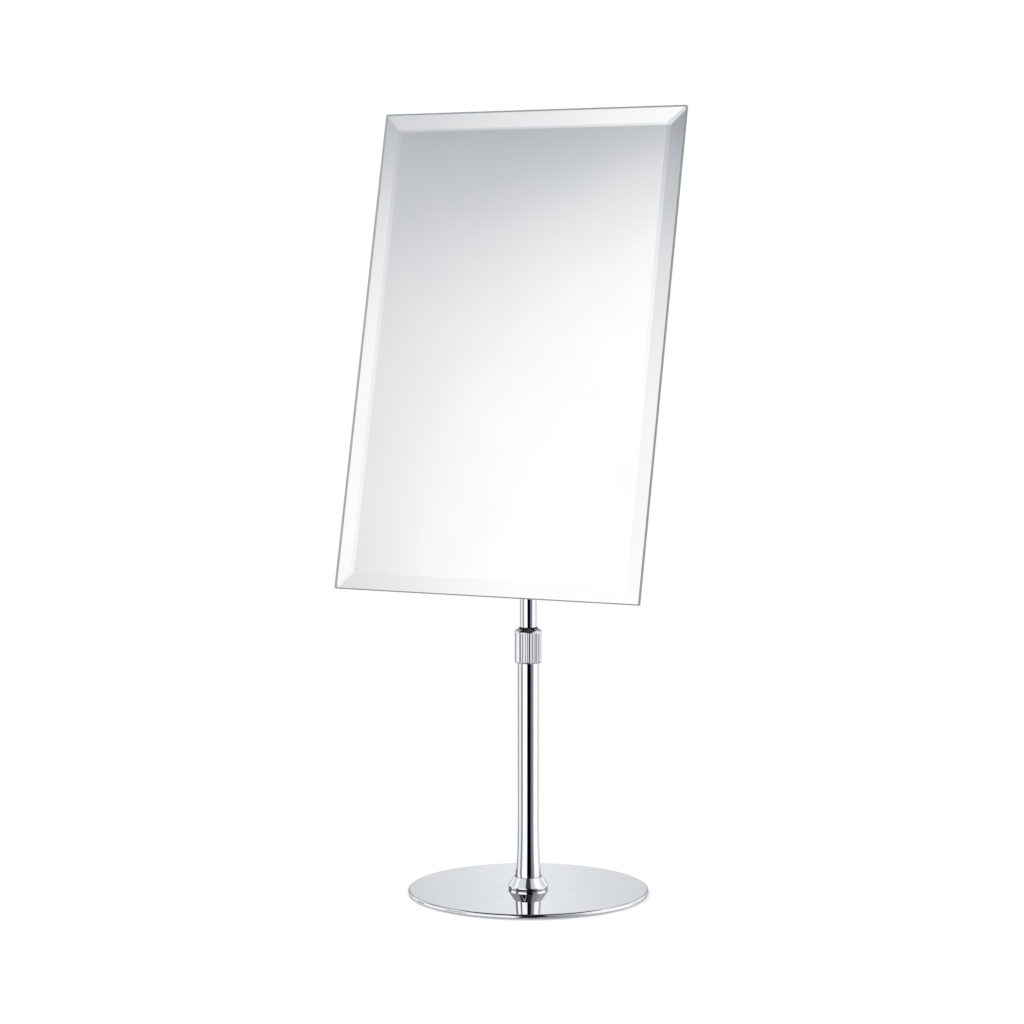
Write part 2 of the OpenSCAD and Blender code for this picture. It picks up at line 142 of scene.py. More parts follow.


# %% [markdown]
# Polished chrome has no colour of its own: it shows the room. The room here is a photographer's
# white studio, drawn by direction: turn is counted from the camera's side, in degrees to its
# right, and height in degrees above the table. It is built up in layers from the floor to the
# ceiling, and each layer is a ramp of greys round the room. Metal sees mostly white walls, with
# a greyer band between 16 and 33 degrees up, a black flag with a grey card beside it in front, a
# grey stand to the left, a dark corner high up behind on the left, and a black ceiling. Below
# the walls it sees the table in painted shade: grey steeply down, and a darker painted shadow
# low behind the mirror, where the table lies under the foot's rim. A second reflection, such as
# the column's in the base plate, has two layers of its own.

# %% Room
# Painted shade: the table seen steeply down, greyed as if in the shade of the foot.
TABLE_IN_PAINTED_SHADE = [
    (-180, "#A2A4A8"), (-60, "#A8AAAE"), (-20, "#9A9C9F"), (40, "#8E9094"), (110, "#A8AAAE"),
    (180, "#A2A4A8"),
]
# Past 140 degrees either way the greys are a painted shadow: the table low behind the mirror, under
# the foot's rim.
FLOOR_ROUND_SHADOW_BEHIND = [
    (-180, "#76787C"), (-158, "#76787C"), (-144, "#D6DADD"), (-55, "#F4F5F6"), (-14, "#FFFFFF"),
    (-7, "#121214"), (9, "#121214"), (13, "#8C8E94"), (32, "#94969C"), (50, "#BCBEC3"),
    (72, "#EEEFF1"), (97, "#FFFFFF"), (112, "#FFFFFF"), (140, "#D6DADD"), (158, "#76787C"),
    (180, "#76787C"),
]
LOW_ROUND = [
    (-180, "#C4C8CE"), (-158, "#D6DADD"), (-130, "#DADDE0"), (-127, "#3A3C40"), (-117, "#3A3C40"),
    (-114, "#F4F5F6"), (-87, "#F4F5F6"), (-81, "#8E9094"), (-68, "#8E9094"), (-62, "#AAACB0"),
    (-56, "#FFFFFF"), (-13, "#FFFFFF"), (-10, "#030304"), (24, "#030304"), (28, "#70727F"),
    (52, "#8D8F99"), (62, "#FFFFFF"), (112, "#FFFFFF"), (118, "#B4B7BA"), (126, "#D8DBDD"),
    (160, "#D2D5D8"), (180, "#C4C8CE"),
]
MIDDLE_ROUND = [
    (-180, "#E6E8EA"), (-179.2, "#E0E2E4"), (-178.4, "#D8DADC"), (-177.6, "#D1D3D5"),
    (-174, "#B6B8BB"), (-166, "#A0A2A5"), (-150, "#B4B6B9"), (-138, "#FFFFFF"), (-88, "#FFFFFF"),
    (-80, "#BABCC0"), (-70, "#C4C6CA"), (-60, "#FFFFFF"), (-9, "#FFFFFF"), (-6, "#08080A"),
    (16, "#08080A"), (20, "#A8AAB0"), (46, "#B8BAC0"), (56, "#FFFFFF"), (142, "#FFFFFF"),
    (152, "#B0B2B5"), (166, "#9A9C9F"), (174, "#B6B8BB"), (177.6, "#D1D3D5"), (178.4, "#D8DADC"),
    (179.2, "#E0E2E4"), (180, "#E6E8EA"),
]
UPPER_ROUND = [
    (-180, "#C4C6C9"), (-162, "#B4B6B9"), (-150, "#B4B6B9"), (-138, "#DADCDE"), (-88, "#D2D4D7"),
    (-60, "#DADCDE"), (-26, "#CCCED1"), (-12, "#DADCDE"), (-6, "#1A1A1C"), (16, "#1A1A1C"),
    (20, "#A8AAB0"), (46, "#B8BAC0"), (56, "#DCDEE0"), (140, "#D6D8DB"), (152, "#B0B2B5"),
    (180, "#C4C6C9"),
]
HIGH_ROUND = [
    (-180, "#BEC0C3"), (-152, "#C4C6C9"), (-144, "#46484C"), (-122, "#5A5C60"), (-106, "#FFFFFF"),
    (-84, "#FFFFFF"), (-74, "#D4D7DA"), (-23, "#D4D7DA"), (-16, "#34373A"), (16, "#34373A"),
    (24, "#B4B7BC"), (50, "#D8DBDE"), (60, "#FFFFFF"), (120, "#FFFFFF"), (134, "#A4A6AA"),
    (152, "#808286"), (162, "#C4C6C9"), (180, "#BEC0C3"),
]
CEILING_ROUND = [
    (-180, "#54565A"), (-170, "#54565A"), (-160, "#16171A"), (-110, "#08090A"), (110, "#08090A"),
    (160, "#16171A"), (170, "#54565A"),
]
AGAIN_LOW_ROUND = [
    (-180, "#A6A8AC"), (-150, "#8C8E92"), (-140, "#626468"), (-118, "#626468"), (-111, "#FFFFFF"),
    (-80, "#FFFFFF"), (-73, "#6C6E72"), (-62, "#6C6E72"), (-55, "#FFFFFF"), (-11, "#FFFFFF"),
    (-8, "#101012"), (24, "#101012"), (28, "#74767E"), (54, "#94969C"), (62, "#FFFFFF"),
    (112, "#FFFFFF"), (119, "#ACAEB2"), (140, "#9A9CA0"), (152, "#B8BABE"), (180, "#A6A8AC"),
]
AGAIN_HIGH_ROUND = [
    (-180, "#8C8E92"), (-98, "#86888C"), (-86, "#101214"), (50, "#101214"), (58, "#75777B"),
    (90, "#86888C"), (125, "#A4A6AA"), (180, "#8C8E92"),
]
CALM_WALL = [
    (-90, "#E4E6E8"), (0, "#FAFAFB"), (8, "#F2F3F5"), (30, "#C4C8CC"), (60, "#96999E"),
    (90, "#85888C"),
]
ROOM_LAYERS = [
    (-40, -32, FLOOR_ROUND_SHADOW_BEHIND), (-12.45, -12.2, LOW_ROUND), (2, 4, MIDDLE_ROUND),
    (15.5, 18.5, UPPER_ROUND), (30, 36, HIGH_ROUND), (51.5, 54, CEILING_ROUND),
]
AGAIN_BORDER = (25, 30)
print("the room has", 1 + len(ROOM_LAYERS), "layers")

# %% [markdown]
# A colour ramp runs from 0 to 1, so turn and height are first brought to that range. The line
# where the floor meets the walls is sharp, as in a real room. The other layers fade into each
# other over a few degrees, so that they leave no line on the chrome.

# %% Room helpers
DEGREE = math.radians(1)


def blend_over(tree, value, low, high):
    """Rises smoothly from 0 to 1 as value goes from low to high."""
    return add(tree, "MapRange",
               {"Value": value, "From Min": low, "From Max": high},
               interpolation_type="SMOOTHSTEP").outputs[0]


def mixed(tree, factor, a, b):
    """Colour a where the factor is 0, and colour b where it is 1."""
    return add(tree, "Mix", {0: factor, 6: a, 7: b}, data_type="RGBA").outputs[2]


def shade_by(tree, value, low, high, stops):
    """A ramp of colours over a value that runs from low to high."""
    place = maths(tree, "DIVIDE", maths(tree, "SUBTRACT", value, low), high - low)
    return add(tree, "ValToRGB", {0: place},
               [((v - low) / (high - low), colour) for v, colour in stops]).outputs[0]


def room_by_direction(tree, again):
    """What metal sees of the studio, and what glass sees. again is 1 in a second reflection."""
    direction = add(tree, "TexCoord").outputs["Generated"]
    turned = add(tree, "VectorRotate",
                 {"Vector": direction, "Angle": -CAMERA_AZIMUTH * DEGREE}, rotation_type="Z_AXIS")
    axes = add(tree, "SeparateXYZ", {0: turned.outputs[0]}).outputs
    facing = maths(tree, "MULTIPLY", axes[1], -1.0)
    turn = maths(tree, "DIVIDE", maths(tree, "ARCTAN2", axes[0], facing), DEGREE)
    height = maths(tree, "DIVIDE", maths(tree, "ARCSINE", axes[2]), DEGREE)

    def layer(stops):
        """One layer's grey at this turn."""
        return shade_by(tree, turn, -180, 180, stops)

    room = layer(TABLE_IN_PAINTED_SHADE)
    for base, top, stops in ROOM_LAYERS:
        room = mixed(tree, blend_over(tree, height, base, top), room, layer(stops))
    twice = mixed(tree, blend_over(tree, height, *AGAIN_BORDER),
                  layer(AGAIN_LOW_ROUND), layer(AGAIN_HIGH_ROUND))
    return mixed(tree, again, room, twice), shade_by(tree, height, -90, 90, CALM_WALL)


# %% [markdown]
# The world shader asks how a ray came to it. The camera sees plain white. A mirrored ray sees
# the room, or a calm wall that only fades upwards where glass lies in between, and both a
# little brighter, because chrome and silver keep some of the light. Every other ray gets one
# even grey white, which lights matt surfaces.

# %% Studio light
WALL_LEVEL = 0.86
MIRRORED_GAIN = 1.08
world = bpy.data.worlds.new("studio")
bpy.context.scene.world = world
world.use_nodes = True
sky = world.node_tree
sky.nodes.clear()
ray = add(sky, "LightPath").outputs
second_glance = maths(sky, "GREATER_THAN", ray["Glossy Depth"], 1.5)
through_glass = maths(sky, "GREATER_THAN", ray["Transmission Depth"], 0.5)
mirrored = maths(sky, "MAXIMUM", ray["Is Glossy Ray"], ray["Is Transmission Ray"])
metal_sees, glass_sees = room_by_direction(sky, second_glance)
shown = mixed(sky, mirrored, [WALL_LEVEL] * 3 + [1], mixed(sky, through_glass, metal_sees, glass_sees))
shown = mixed(sky, ray["Is Camera Ray"], shown, linear("#FFFFFF"))
gain = add(sky, "MapRange", {"Value": mirrored, "To Min": 1.0, "To Max": MIRRORED_GAIN})
background = add(sky, "Background", {"Color": shown, "Strength": gain.outputs[0]})
add(sky, "OutputWorld", {"Surface": background.outputs[0]})
print("metal sees the room", MIRRORED_GAIN, "times as bright as it is written")

# %% [markdown]
# One large soft box hangs above the front, to the left, and gives the foot its faint shade on
# the table. Mirrored rays don't see it, because the room already holds what metal shows.

# %% Soft box
LAMP_SIZE = 1.6
LAMP_POWER = 9
LAMP_PLACE = on_circle(-35, 1.5, 2.0)
LAMP_AIM = Vector((0, 0, 0.25))
lamp_data = bpy.data.lights.new("soft_box", "AREA")
lamp_data.shape = "DISK"
lamp_data.size = LAMP_SIZE
lamp_data.energy = LAMP_POWER
lamp = into_scene("soft_box", lamp_data)
lamp.location = LAMP_PLACE
lamp.rotation_euler = (LAMP_AIM - LAMP_PLACE).to_track_quat("-Z", "Y").to_euler()
lamp.visible_glossy = False
lamp.visible_transmission = False
print("the soft box hangs", round(lamp.location.z, 2), "m up")

# %% [markdown]
# A large paper screen stands in front of the mirror, to the left of the camera. It is what the
# pane shows: white below and to the right, and falling off to grey towards its upper left
# corner. It stands less than a metre away, so that the bevel, which looks a few degrees aside,
# shows nearly the same part of it as the face beside it does. Only glass sees it, and its
# borders fade out, so it never shows as a sheet with an edge.

# %% Paper screen
SCREEN_TURN = -29.055
SCREEN_DISTANCE = 0.8
SCREEN_X = (-0.42, 0.45)
SCREEN_Z = (0.26, 1.12)
SCREEN_FADE = 0.16
SCREEN_MIDDLE = 0.7
SCREEN_GAIN = 1.05
PAPER = [
    (-0.184, "#95989D"), (-0.139, "#B5B8BC"), (-0.093, "#C7C9CC"), (-0.048, "#DCDDDF"),
    (-0.002, "#EAEAEB"), (0.043, "#F5F5F5"), (0.089, "#FAFAFA"), (0.134, "#FEFEFE"),
]
PAPER_RANGE = (-0.4, 0.4)
LIT_X = (-0.2, 0.25)
LIT_Z = (-0.3, 0.25)
FALL_ACROSS = 0.806
FALL_UP = -0.591
FALL_CURVES = (1.8, -1.986, -1.297)


def blank_material(name):
    """A new material and its empty node tree."""
    mat = bpy.data.materials.new(name)
    mat.use_nodes = True
    mat.node_tree.nodes.clear()
    return mat, mat.node_tree


def fade(tree, value, low, high):
    """1 well between low and high, and 0 outside them."""
    rise = blend_over(tree, value, low, low + SCREEN_FADE)
    return maths(tree, "MULTIPLY", rise, blend_over(tree, value, high, high - SCREEN_FADE))


def held(tree, value, low, high):
    """The value, held between low and high."""
    return add(tree, "Clamp", {"Value": value, "Min": low, "Max": high}).outputs[0]


def white_paper():
    """Seamless paper under a soft lamp. It gives the pane its diagonal fall from white to grey."""
    mat, tree = blank_material("white_paper")
    place = add(tree, "TexCoord").outputs["Object"]
    across_way = on_circle(SCREEN_TURN + 90, 1, 0)
    across = add(tree, "VectorMath", {0: place, 1: across_way},
                 operation="DOT_PRODUCT").outputs["Value"]
    up = add(tree, "SeparateXYZ", {0: place}).outputs[2]
    inside = maths(tree, "MULTIPLY", fade(tree, across, *SCREEN_X), fade(tree, up, *SCREEN_Z))
    x = held(tree, across, *LIT_X)
    z = held(tree, maths(tree, "SUBTRACT", up, SCREEN_MIDDLE), *LIT_Z)
    fall = maths(tree, "ADD", maths(tree, "MULTIPLY", x, FALL_ACROSS),
                 maths(tree, "MULTIPLY", z, FALL_UP))
    for factor, a, b in zip(FALL_CURVES, (x, x, z), (x, z, z)):
        term = maths(tree, "MULTIPLY", maths(tree, "MULTIPLY", a, b), factor)
        fall = maths(tree, "ADD", fall, term)
    paper = shade_by(tree, fall, *PAPER_RANGE, PAPER)
    glow = add(tree, "Emission", {"Color": paper, "Strength": SCREEN_GAIN}).outputs[0]
    clear = add(tree, "BsdfTransparent").outputs[0]
    ray = add(tree, "LightPath").outputs
    seen = maths(tree, "MULTIPLY", maths(tree, "GREATER_THAN", ray["Transmission Depth"], 0.5), inside)
    look = add(tree, "MixShader", {0: seen, 1: clear, 2: glow}).outputs[0]
    add(tree, "OutputMaterial", {"Surface": look})
    mat.cycles.emission_sampling = "NONE"
    return mat


# %% [markdown]
# The sheet starts as a unit square. One matrix stretches it, stands it up, turns it towards the
# mirror and carries it to its place.


# %% Screen in place
def as_mesh(bm, name):
    """Writes a bmesh to a new mesh and frees it."""
    mesh = bpy.data.meshes.new(name)
    bm.to_mesh(mesh)
    bm.free()
    return mesh


bm = bmesh.new()
bmesh.ops.create_grid(bm, x_segments=1, y_segments=1, size=0.5)
size = Matrix.Diagonal((SCREEN_X[1] - SCREEN_X[0], SCREEN_Z[1] - SCREEN_Z[0], 1, 1))
stand = (Matrix.Translation(on_circle(SCREEN_TURN, SCREEN_DISTANCE, 0))
         @ Matrix.Rotation(SCREEN_TURN * DEGREE, 4, "Z") @ Matrix.Rotation(90 * DEGREE, 4, "X"))
middle = Matrix.Translation((sum(SCREEN_X) / 2, sum(SCREEN_Z) / 2, 0))
bmesh.ops.transform(bm, matrix=stand @ middle @ size, verts=bm.verts)
screen_mesh = as_mesh(bm, "paper_screen")
screen_mesh.materials.append(white_paper())
screen = into_scene("paper_screen", screen_mesh)
screen.visible_camera = False
screen.visible_diffuse = False
screen.visible_shadow = False
print("the screen's corners are at", [tuple(round(c, 2) for c in v.co) for v in screen_mesh.vertices])

# %% [markdown]
# The floor is a small round table top. To the camera it is as white as the background, so its
# rim doesn't show, and it only darkens where the mirror shades it. Polished pieces look through
# it: a chromed column seen from above mirrors what lies low beyond the table, and the table's
# shade that chrome shows is painted into the room.

# %% Floor
FLOOR_RADIUS = 0.35
FLOOR_GLOW = 0.36


def white_table():
    """Matt white lacquer. It gives the eye only a faint shade under the foot."""
    mat, tree = blank_material("white_table")
    ray = add(tree, "LightPath").outputs
    matt = add(tree, "BsdfDiffuse", {"Color": linear("#E8E8E8")}).outputs[0]
    glow = add(tree, "Emission",
               {"Strength": maths(tree, "MULTIPLY", ray["Is Camera Ray"], FLOOR_GLOW)}).outputs[0]
    table = add(tree, "AddShader", {0: matt, 1: glow}).outputs[0]
    clear = add(tree, "BsdfTransparent").outputs[0]
    look = add(tree, "MixShader", {0: ray["Is Glossy Ray"], 1: table, 2: clear}).outputs[0]
    add(tree, "OutputMaterial", {"Surface": look})
    return mat


bm = bmesh.new()
bmesh.ops.create_circle(bm, cap_ends=True, segments=128, radius=FLOOR_RADIUS)
floor_mesh = as_mesh(bm, "table_top")
floor_mesh.materials.append(white_table())
into_scene("table_top", floor_mesh)
print("the table top is", 2 * FLOOR_RADIUS, "m across")

# %% [markdown]
# Every material reads Object coordinates, so its pattern stays on the piece when a joint moves.
# Pattern sizes are real ones, in millimetres. The first helper starts a material and hands
# back its tree, its coordinates and its main shader. Blender's noise runs from 0 to 1 but seldom
# leaves the middle, so colours and roughness follow it from 0.3 to 0.7. Its wave texture
# repeats every 0.314 metres at scale 1, from which the spacing of turning marks is set.


# %% Material helpers
NOISE_LOW, NOISE_HIGH = 0.3, 0.7
WAVE_PERIOD = math.pi / 10


def start(name, **values):
    """A new material: its tree, its Object coordinates and a principled shader with values."""
    mat, tree = blank_material(name)
    place = add(tree, "TexCoord").outputs["Object"]
    names = {key.replace("_", " ").title().replace("Ior", "IOR"): v for key, v in values.items()}
    shader = add(tree, "BsdfPrincipled", names)
    add(tree, "OutputMaterial", {"Surface": shader.outputs[0]})
    return mat, tree, place, shader


def mottle(tree, place, size, detail=3.0):
    """A soft cloudy pattern from 0 to 1, whose clouds are about size millimetres wide."""
    return add(tree, "TexNoise",
               {"Vector": place, "Scale": 1 / (size * MM), "Detail": detail}).outputs["Fac"]


def between(tree, factor, low, high):
    """A number that follows the pattern, from low to high."""
    return add(tree, "MapRange",
               {"Value": factor, "From Min": NOISE_LOW, "From Max": NOISE_HIGH,
                "To Min": low, "To Max": high}).outputs[0]


def tinted(tree, factor, low, high):
    """A colour that follows the pattern, from one hex value to another."""
    stops = [(NOISE_LOW, low), (NOISE_HIGH, high)]
    return add(tree, "ValToRGB", {0: factor}, stops).outputs[0]


def bumped(tree, shader, height, depth):
    """Raises the surface along a pattern by depth millimetres."""
    bump = add(tree, "Bump", {"Height": height, "Distance": depth * MM, "Strength": 1.0})
    tree.links.new(bump.outputs[0], shader.inputs["Normal"])


def grained(tree, shader, grain, dark, light, depth):
    """Tints the surface along a pattern, and raises it by depth millimetres."""
    tree.links.new(tinted(tree, grain, dark, light), shader.inputs["Base Color"])
    bumped(tree, shader, grain, depth)


def clouded(name, size, colours, roughness, **values):
    """A start whose colour and roughness drift in clouds about size millimetres wide."""
    mat, tree, place, shader = start(name, **values)
    cloud = mottle(tree, place, size)
    tree.links.new(tinted(tree, cloud, *colours), shader.inputs["Base Color"])
    tree.links.new(between(tree, cloud, *roughness), shader.inputs["Roughness"])
    return mat, tree, place, shader


def turning_marks(tree, place, spacing, wobble):
    """Rings about Z from 0 to 1, spacing millimetres apart, as a lathe tool leaves them."""
    return add(tree, "TexWave",
               {"Vector": place, "Scale": WAVE_PERIOD / (spacing * MM), "Distortion": wobble},
               bands_direction="Z").outputs["Fac"]


# %% [markdown]
# Chrome plating is a hard, bluish white metal skin on steel, brass or cast zinc. How the
# blank was finished before plating still shows: polished sheet and tube mirror cleanly, a
# turned cone keeps the faint rings of the tool, and a casting is a little softer.


# %% Chrome finishes
def polished_chrome():
    """Buffed before plating. Gives the eye clean mirror images with the faintest handling haze."""
    return clouded("polished_chrome", 26, ("#F1F3F5", "#F7F8F9"), (0.012, 0.03), metallic=1.0)[0]


def turned_chrome():
    """Fine-turned before plating. Gives the eye soft rings that blur what a cone mirrors."""
    mat, tree, place, shader = start("turned_chrome", metallic=1.0)
    tree.links.new(between(tree, mottle(tree, place, 4), 0.12, 0.16), shader.inputs["Roughness"])
    grained(tree, shader, turning_marks(tree, place, 0.62832, 0.4), "#D6D8DA", "#E4E6E8", 0.004)
    return mat


def cast_chrome():
    """Chrome on polished cast zinc. Gives the eye a mirror with a slight orange peel."""
    mat, tree, place, shader = clouded("cast_chrome", 9, ("#D2D5D8", "#DDDFE2"), (0.03, 0.07),
                                       metallic=1.0)
    bumped(tree, shader, mottle(tree, place, 1.6, 1.0), 0.004)
    return mat


POLISHED = polished_chrome()
TURNED = turned_chrome()
CAST = cast_chrome()
print("chrome:", [mat.name for mat in (POLISHED, TURNED, CAST)])

# %% [markdown]
# The mirror has four finishes. The glass is clear float glass, polished on its face and bevel.
# Its outer edge is ground, which leaves a grey, slightly green, frosted band. The silver lies
# behind the glass under a coat of dark grey paint that seals it.


# %% Glass finishes
def float_glass():
    """Clear soda-lime glass. Gives the eye depth: the bevel bends what the silver mirrors."""
    return clouded("float_glass", 60, ("#FDFEFE", "#FFFFFF"), (0.0, 0.002),
                   transmission_weight=1.0, ior=1.52)[0]


def silver():
    """A wet-laid silver film behind the glass. Gives the eye the full mirror image."""
    return clouded("silver", 45, ("#FBFCFC", "#FEFEFE"), (0.0, 0.004), metallic=1.0)[0]


def ground_edge():
    """A diamond-ground edge that lets light through. Gives the eye a thin frosted outline."""
    mat, tree, place, shader = start("ground_edge", roughness=0.45, ior=1.52)
    grained(tree, shader, mottle(tree, place, 0.5), "#9DA4A3", "#ABB2B1", 0.02)
    frost = add(tree, "BsdfTranslucent", {"Color": linear("#E6ECEA")}).outputs[0]
    look = add(tree, "MixShader", {0: 0.5, 1: shader.outputs[0], 2: frost}).outputs[0]
    tree.links.new(look, tree.nodes["Material Output"].inputs[0])
    return mat


def mirror_paint():
    """Roller-coated backing paint. Gives the eye a dark grey matt film with a soft stipple."""
    mat, tree, place, shader = start("mirror_paint", roughness=0.55)
    grained(tree, shader, mottle(tree, place, 1.2), "#2A2C2F", "#34373A", 0.015)
    return mat


GLASS = float_glass()
SILVER = silver()
GROUND = ground_edge()
PAINT = mirror_paint()
print("mirror:", [mat.name for mat in (GLASS, SILVER, GROUND, PAINT)])

# %% [markdown]
# The rest is workshop stock: a powder-coated panel, rubber, foam, acetal, brass and zinc-plated
# steel. Most of it hides inside, and shows only where a joint opens or the mirror is turned.


# %% Other finishes
def powder_coat():
    """Matt black baked powder. Gives the eye a deep even black with a fine pebbled grain."""
    mat, tree, place, shader = start("powder_coat", specular_ior_level=0.18)
    grained(tree, shader, mottle(tree, place, 0.9, 1.0), "#101112", "#161718", 0.012)
    tree.links.new(between(tree, mottle(tree, place, 30), 0.5, 0.58), shader.inputs["Roughness"])
    return mat


def moulded(name, dark, light, size, roughness, depth):
    """Moulded or die-cut stock. Gives the eye an even skin, whose grain is size mm wide."""
    mat, tree, place, shader = start(name, roughness=roughness)
    grained(tree, shader, mottle(tree, place, size), dark, light, depth)
    return mat


def bare_metal(name, dark, light, roughness):
    """Bare or thinly plated metal from the lathe. Gives the eye a soft sheen with faint rings."""
    mat, tree, place, shader = start(name, metallic=1.0, roughness=roughness)
    grained(tree, shader, turning_marks(tree, place, 1.0472, 1.5), dark, light, 0.004)
    return mat


POWDER = powder_coat()
RUBBER = moulded("black_rubber", "#161616", "#1F1F1F", 0.6, 0.6, 0.01)
FOAM_PAD = moulded("eva_foam", "#1B1C1D", "#2A2B2C", 0.4, 0.85, 0.04)
FOAM_TAPE = moulded("foam_tape", "#2B2C2E", "#3A3B3D", 0.5, 0.9, 0.05)
ACETAL = moulded("acetal", "#E6E5DF", "#EFEEE9", 3.0, 0.35, 0.002)
BRASS = bare_metal("turned_brass", "#D9B45C", "#E6C678", 0.28)
ZINC = bare_metal("zinc_plated_steel", "#A9ACAE", "#C2C5C8", 0.34)
print("stock:", [mat.name for mat in (POWDER, RUBBER, FOAM_PAD, FOAM_TAPE, ACETAL, BRASS, ZINC)])

# %% [markdown]
# Round pieces are turned on a lathe in the workshop, and here too: an outline of radius and
# height is spun once round Z. Sharp rings left by the outline get a small round with a bevel,
# because a polished edge always catches a line of light. A weighted-normal modifier then keeps
# the flats flat beside those rounds, which polished metal would otherwise show as a ripple.


# %% Lathe and finishing helpers
def round_size(node):
    """Radius, foot and top of a round upright CAD node, in millimetres."""
    low, high = (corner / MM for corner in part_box(node))
    return high.x, low.z, high.z


def arc(r, z, radius, first, last, steps=6):
    """Points round the centre (r, z), from one angle to another in degrees."""
    turns = [math.radians(first + (last - first) * i / steps) for i in range(steps + 1)]
    return [(r + radius * math.cos(a), z + radius * math.sin(a)) for a in turns]


def outwards(bm):
    """Turns every face to point out of the piece."""
    bmesh.ops.recalc_face_normals(bm, faces=bm.faces)
    return bm


def lathe(outline, steps=128, sweep=360):
    """Spins an outline about Z. It closes on itself, unless both ends lie on the axis."""
    bm = bmesh.new()
    rim = [bm.verts.new((r, 0, z)) for r, z in outline]
    edges = [bm.edges.new(pair) for pair in zip(rim, rim[1:])]
    if outline[0][0] > 0 or outline[-1][0] > 0:
        edges.append(bm.edges.new((rim[-1], rim[0])))
    bmesh.ops.spin(bm, geom=rim + edges, axis=(0, 0, 1), angle=math.radians(sweep),
                   steps=steps, use_merge=sweep == 360)
    bmesh.ops.remove_doubles(bm, verts=bm.verts, dist=0.0005)
    if sweep < 360:
        bmesh.ops.holes_fill(bm, edges=[e for e in bm.edges if e.is_boundary])
    return outwards(bm)


def straight(first, last, steps):
    """Points along a straight line, both ends among them."""
    return [tuple(a + (b - a) * i / steps for a, b in zip(first, last)) for i in range(steps + 1)]


def quarter(r, z, width, height, steps):
    """Points of a quarter ellipse that leaves (r, z) level and ends upright."""
    turns = [math.radians(90 * i / steps) for i in range(steps + 1)]
    return [(r + width * math.sin(a), z + height * (1 - math.cos(a))) for a in turns]


def round_off(bm, edges, width, segments, material=-1, clamp=False):
    """Rounds the given edges by width millimetres."""
    bmesh.ops.bevel(bm, geom=edges, offset=width, offset_type="OFFSET", affect="EDGES",
                    segments=segments, profile=0.5, material=material, clamp_overlap=clamp)


def soften(bm, width, segments=3, sharp=25):
    """Rounds every edge that turns by more than sharp degrees, by width millimetres."""
    edges = [e for e in bm.edges if e.is_manifold and e.calc_face_angle(0) > math.radians(sharp)]
    round_off(bm, edges, width, segments, clamp=True)
    return outwards(bm)


SMOOTH_BELOW = 40


def deliver(bm, name, node, *materials, flat=False):
    """Writes the mesh in metres as a piece that stands for a CAD node and rides on its body."""
    bmesh.ops.scale(bm, vec=(MM, MM, MM), verts=bm.verts)
    mesh = as_mesh(bm, name)
    for mat in materials:
        mesh.materials.append(mat)
    piece = into_scene(name, mesh)
    if not flat:
        mesh.shade_smooth()
        mesh.set_sharp_from_angle(angle=math.radians(SMOOTH_BELOW))
        weighted = piece.modifiers.new("flats", "WEIGHTED_NORMAL")
        weighted.keep_sharp = True
    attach(piece, frame["nodes"][node]["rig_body"])
    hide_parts(node)
    print(f"{name}: {len(mesh.polygons)} faces")
    return piece


def move(bm, matrix):
    """Moves the whole mesh."""
    bmesh.ops.transform(bm, matrix=matrix, verts=bm.verts)
    return bm


# %% [markdown]
# The foot is a steel disc on a thin foam pad, and a turned collar that hides where the column is
# screwed down. The disc's rim is turned to a half round, which gathers the whole height of the
# room in one thin line. So the disc is spun from an outline with that half round and with a
# countersunk hole for the base screw. Two more rings near the rim keep its top face flat. The
# collar is one cone with a lip at its foot.

# %% Base pad, base plate and foot collar
RIM_FLAT = 0.2
FLAT_RINGS = (20, 2)
SCREW_HOLE_R = 2.75
COUNTERSINK = 2.3
pad_r, pad_under, pad_top = round_size("base_pad")
pad = lathe([(0, pad_under), (pad_r, pad_under), (pad_r, pad_top), (0, pad_top)], 160)
deliver(soften(pad, 0.15), "nonslip_pad", "base_pad", FOAM_PAD)

plate_r, plate_under, plate_top = round_size("base_plate")
edge_r = (plate_top - plate_under - RIM_FLAT) / 2
rim_r = plate_r - edge_r
plate = lathe(
    [(SCREW_HOLE_R, plate_top)] + [(rim_r - inset, plate_top) for inset in FLAT_RINGS]
    + arc(rim_r, plate_top - edge_r, edge_r, 90, 0, 12)
    + arc(rim_r, plate_under + edge_r, edge_r, 0, -90, 12)
    + [(rim_r - FLAT_RINGS[1], plate_under), (SCREW_HOLE_R + COUNTERSINK, plate_under),
       (SCREW_HOLE_R, plate_under + COUNTERSINK)], 256)
deliver(plate, "polished_base_plate", "base_plate", POLISHED)

COLLAR_TUCK = 0.6
COLLAR_LIP = 1.8
COLLAR_WEB = 2.2
COLLAR_TOP_R = 8.95
COLLAR_BORE = 8.28
collar_r, collar_foot, collar_top = round_size("foot_collar")
lip = quarter(collar_r - COLLAR_TUCK, collar_foot, COLLAR_TUCK, COLLAR_LIP, 6)
collar = lathe([(SCREW_HOLE_R, collar_foot)] + lip
               + [(COLLAR_TOP_R, collar_top), (COLLAR_BORE, collar_top),
                  (COLLAR_BORE, collar_foot + COLLAR_WEB), (SCREW_HOLE_R, collar_foot + COLLAR_WEB)])
deliver(soften(collar, 0.12), "turned_foot_collar", "foot_collar", POLISHED)
print("the plate is", round(2 * plate_r, 1), "mm across, the collar", round(2 * collar_r, 1))

# %% [markdown]
# The outer tube is drawn brass, belled out at its foot so that it meets the collar with a
# sweep and not a step. The bell is part of a large circle that runs out into the straight tube.

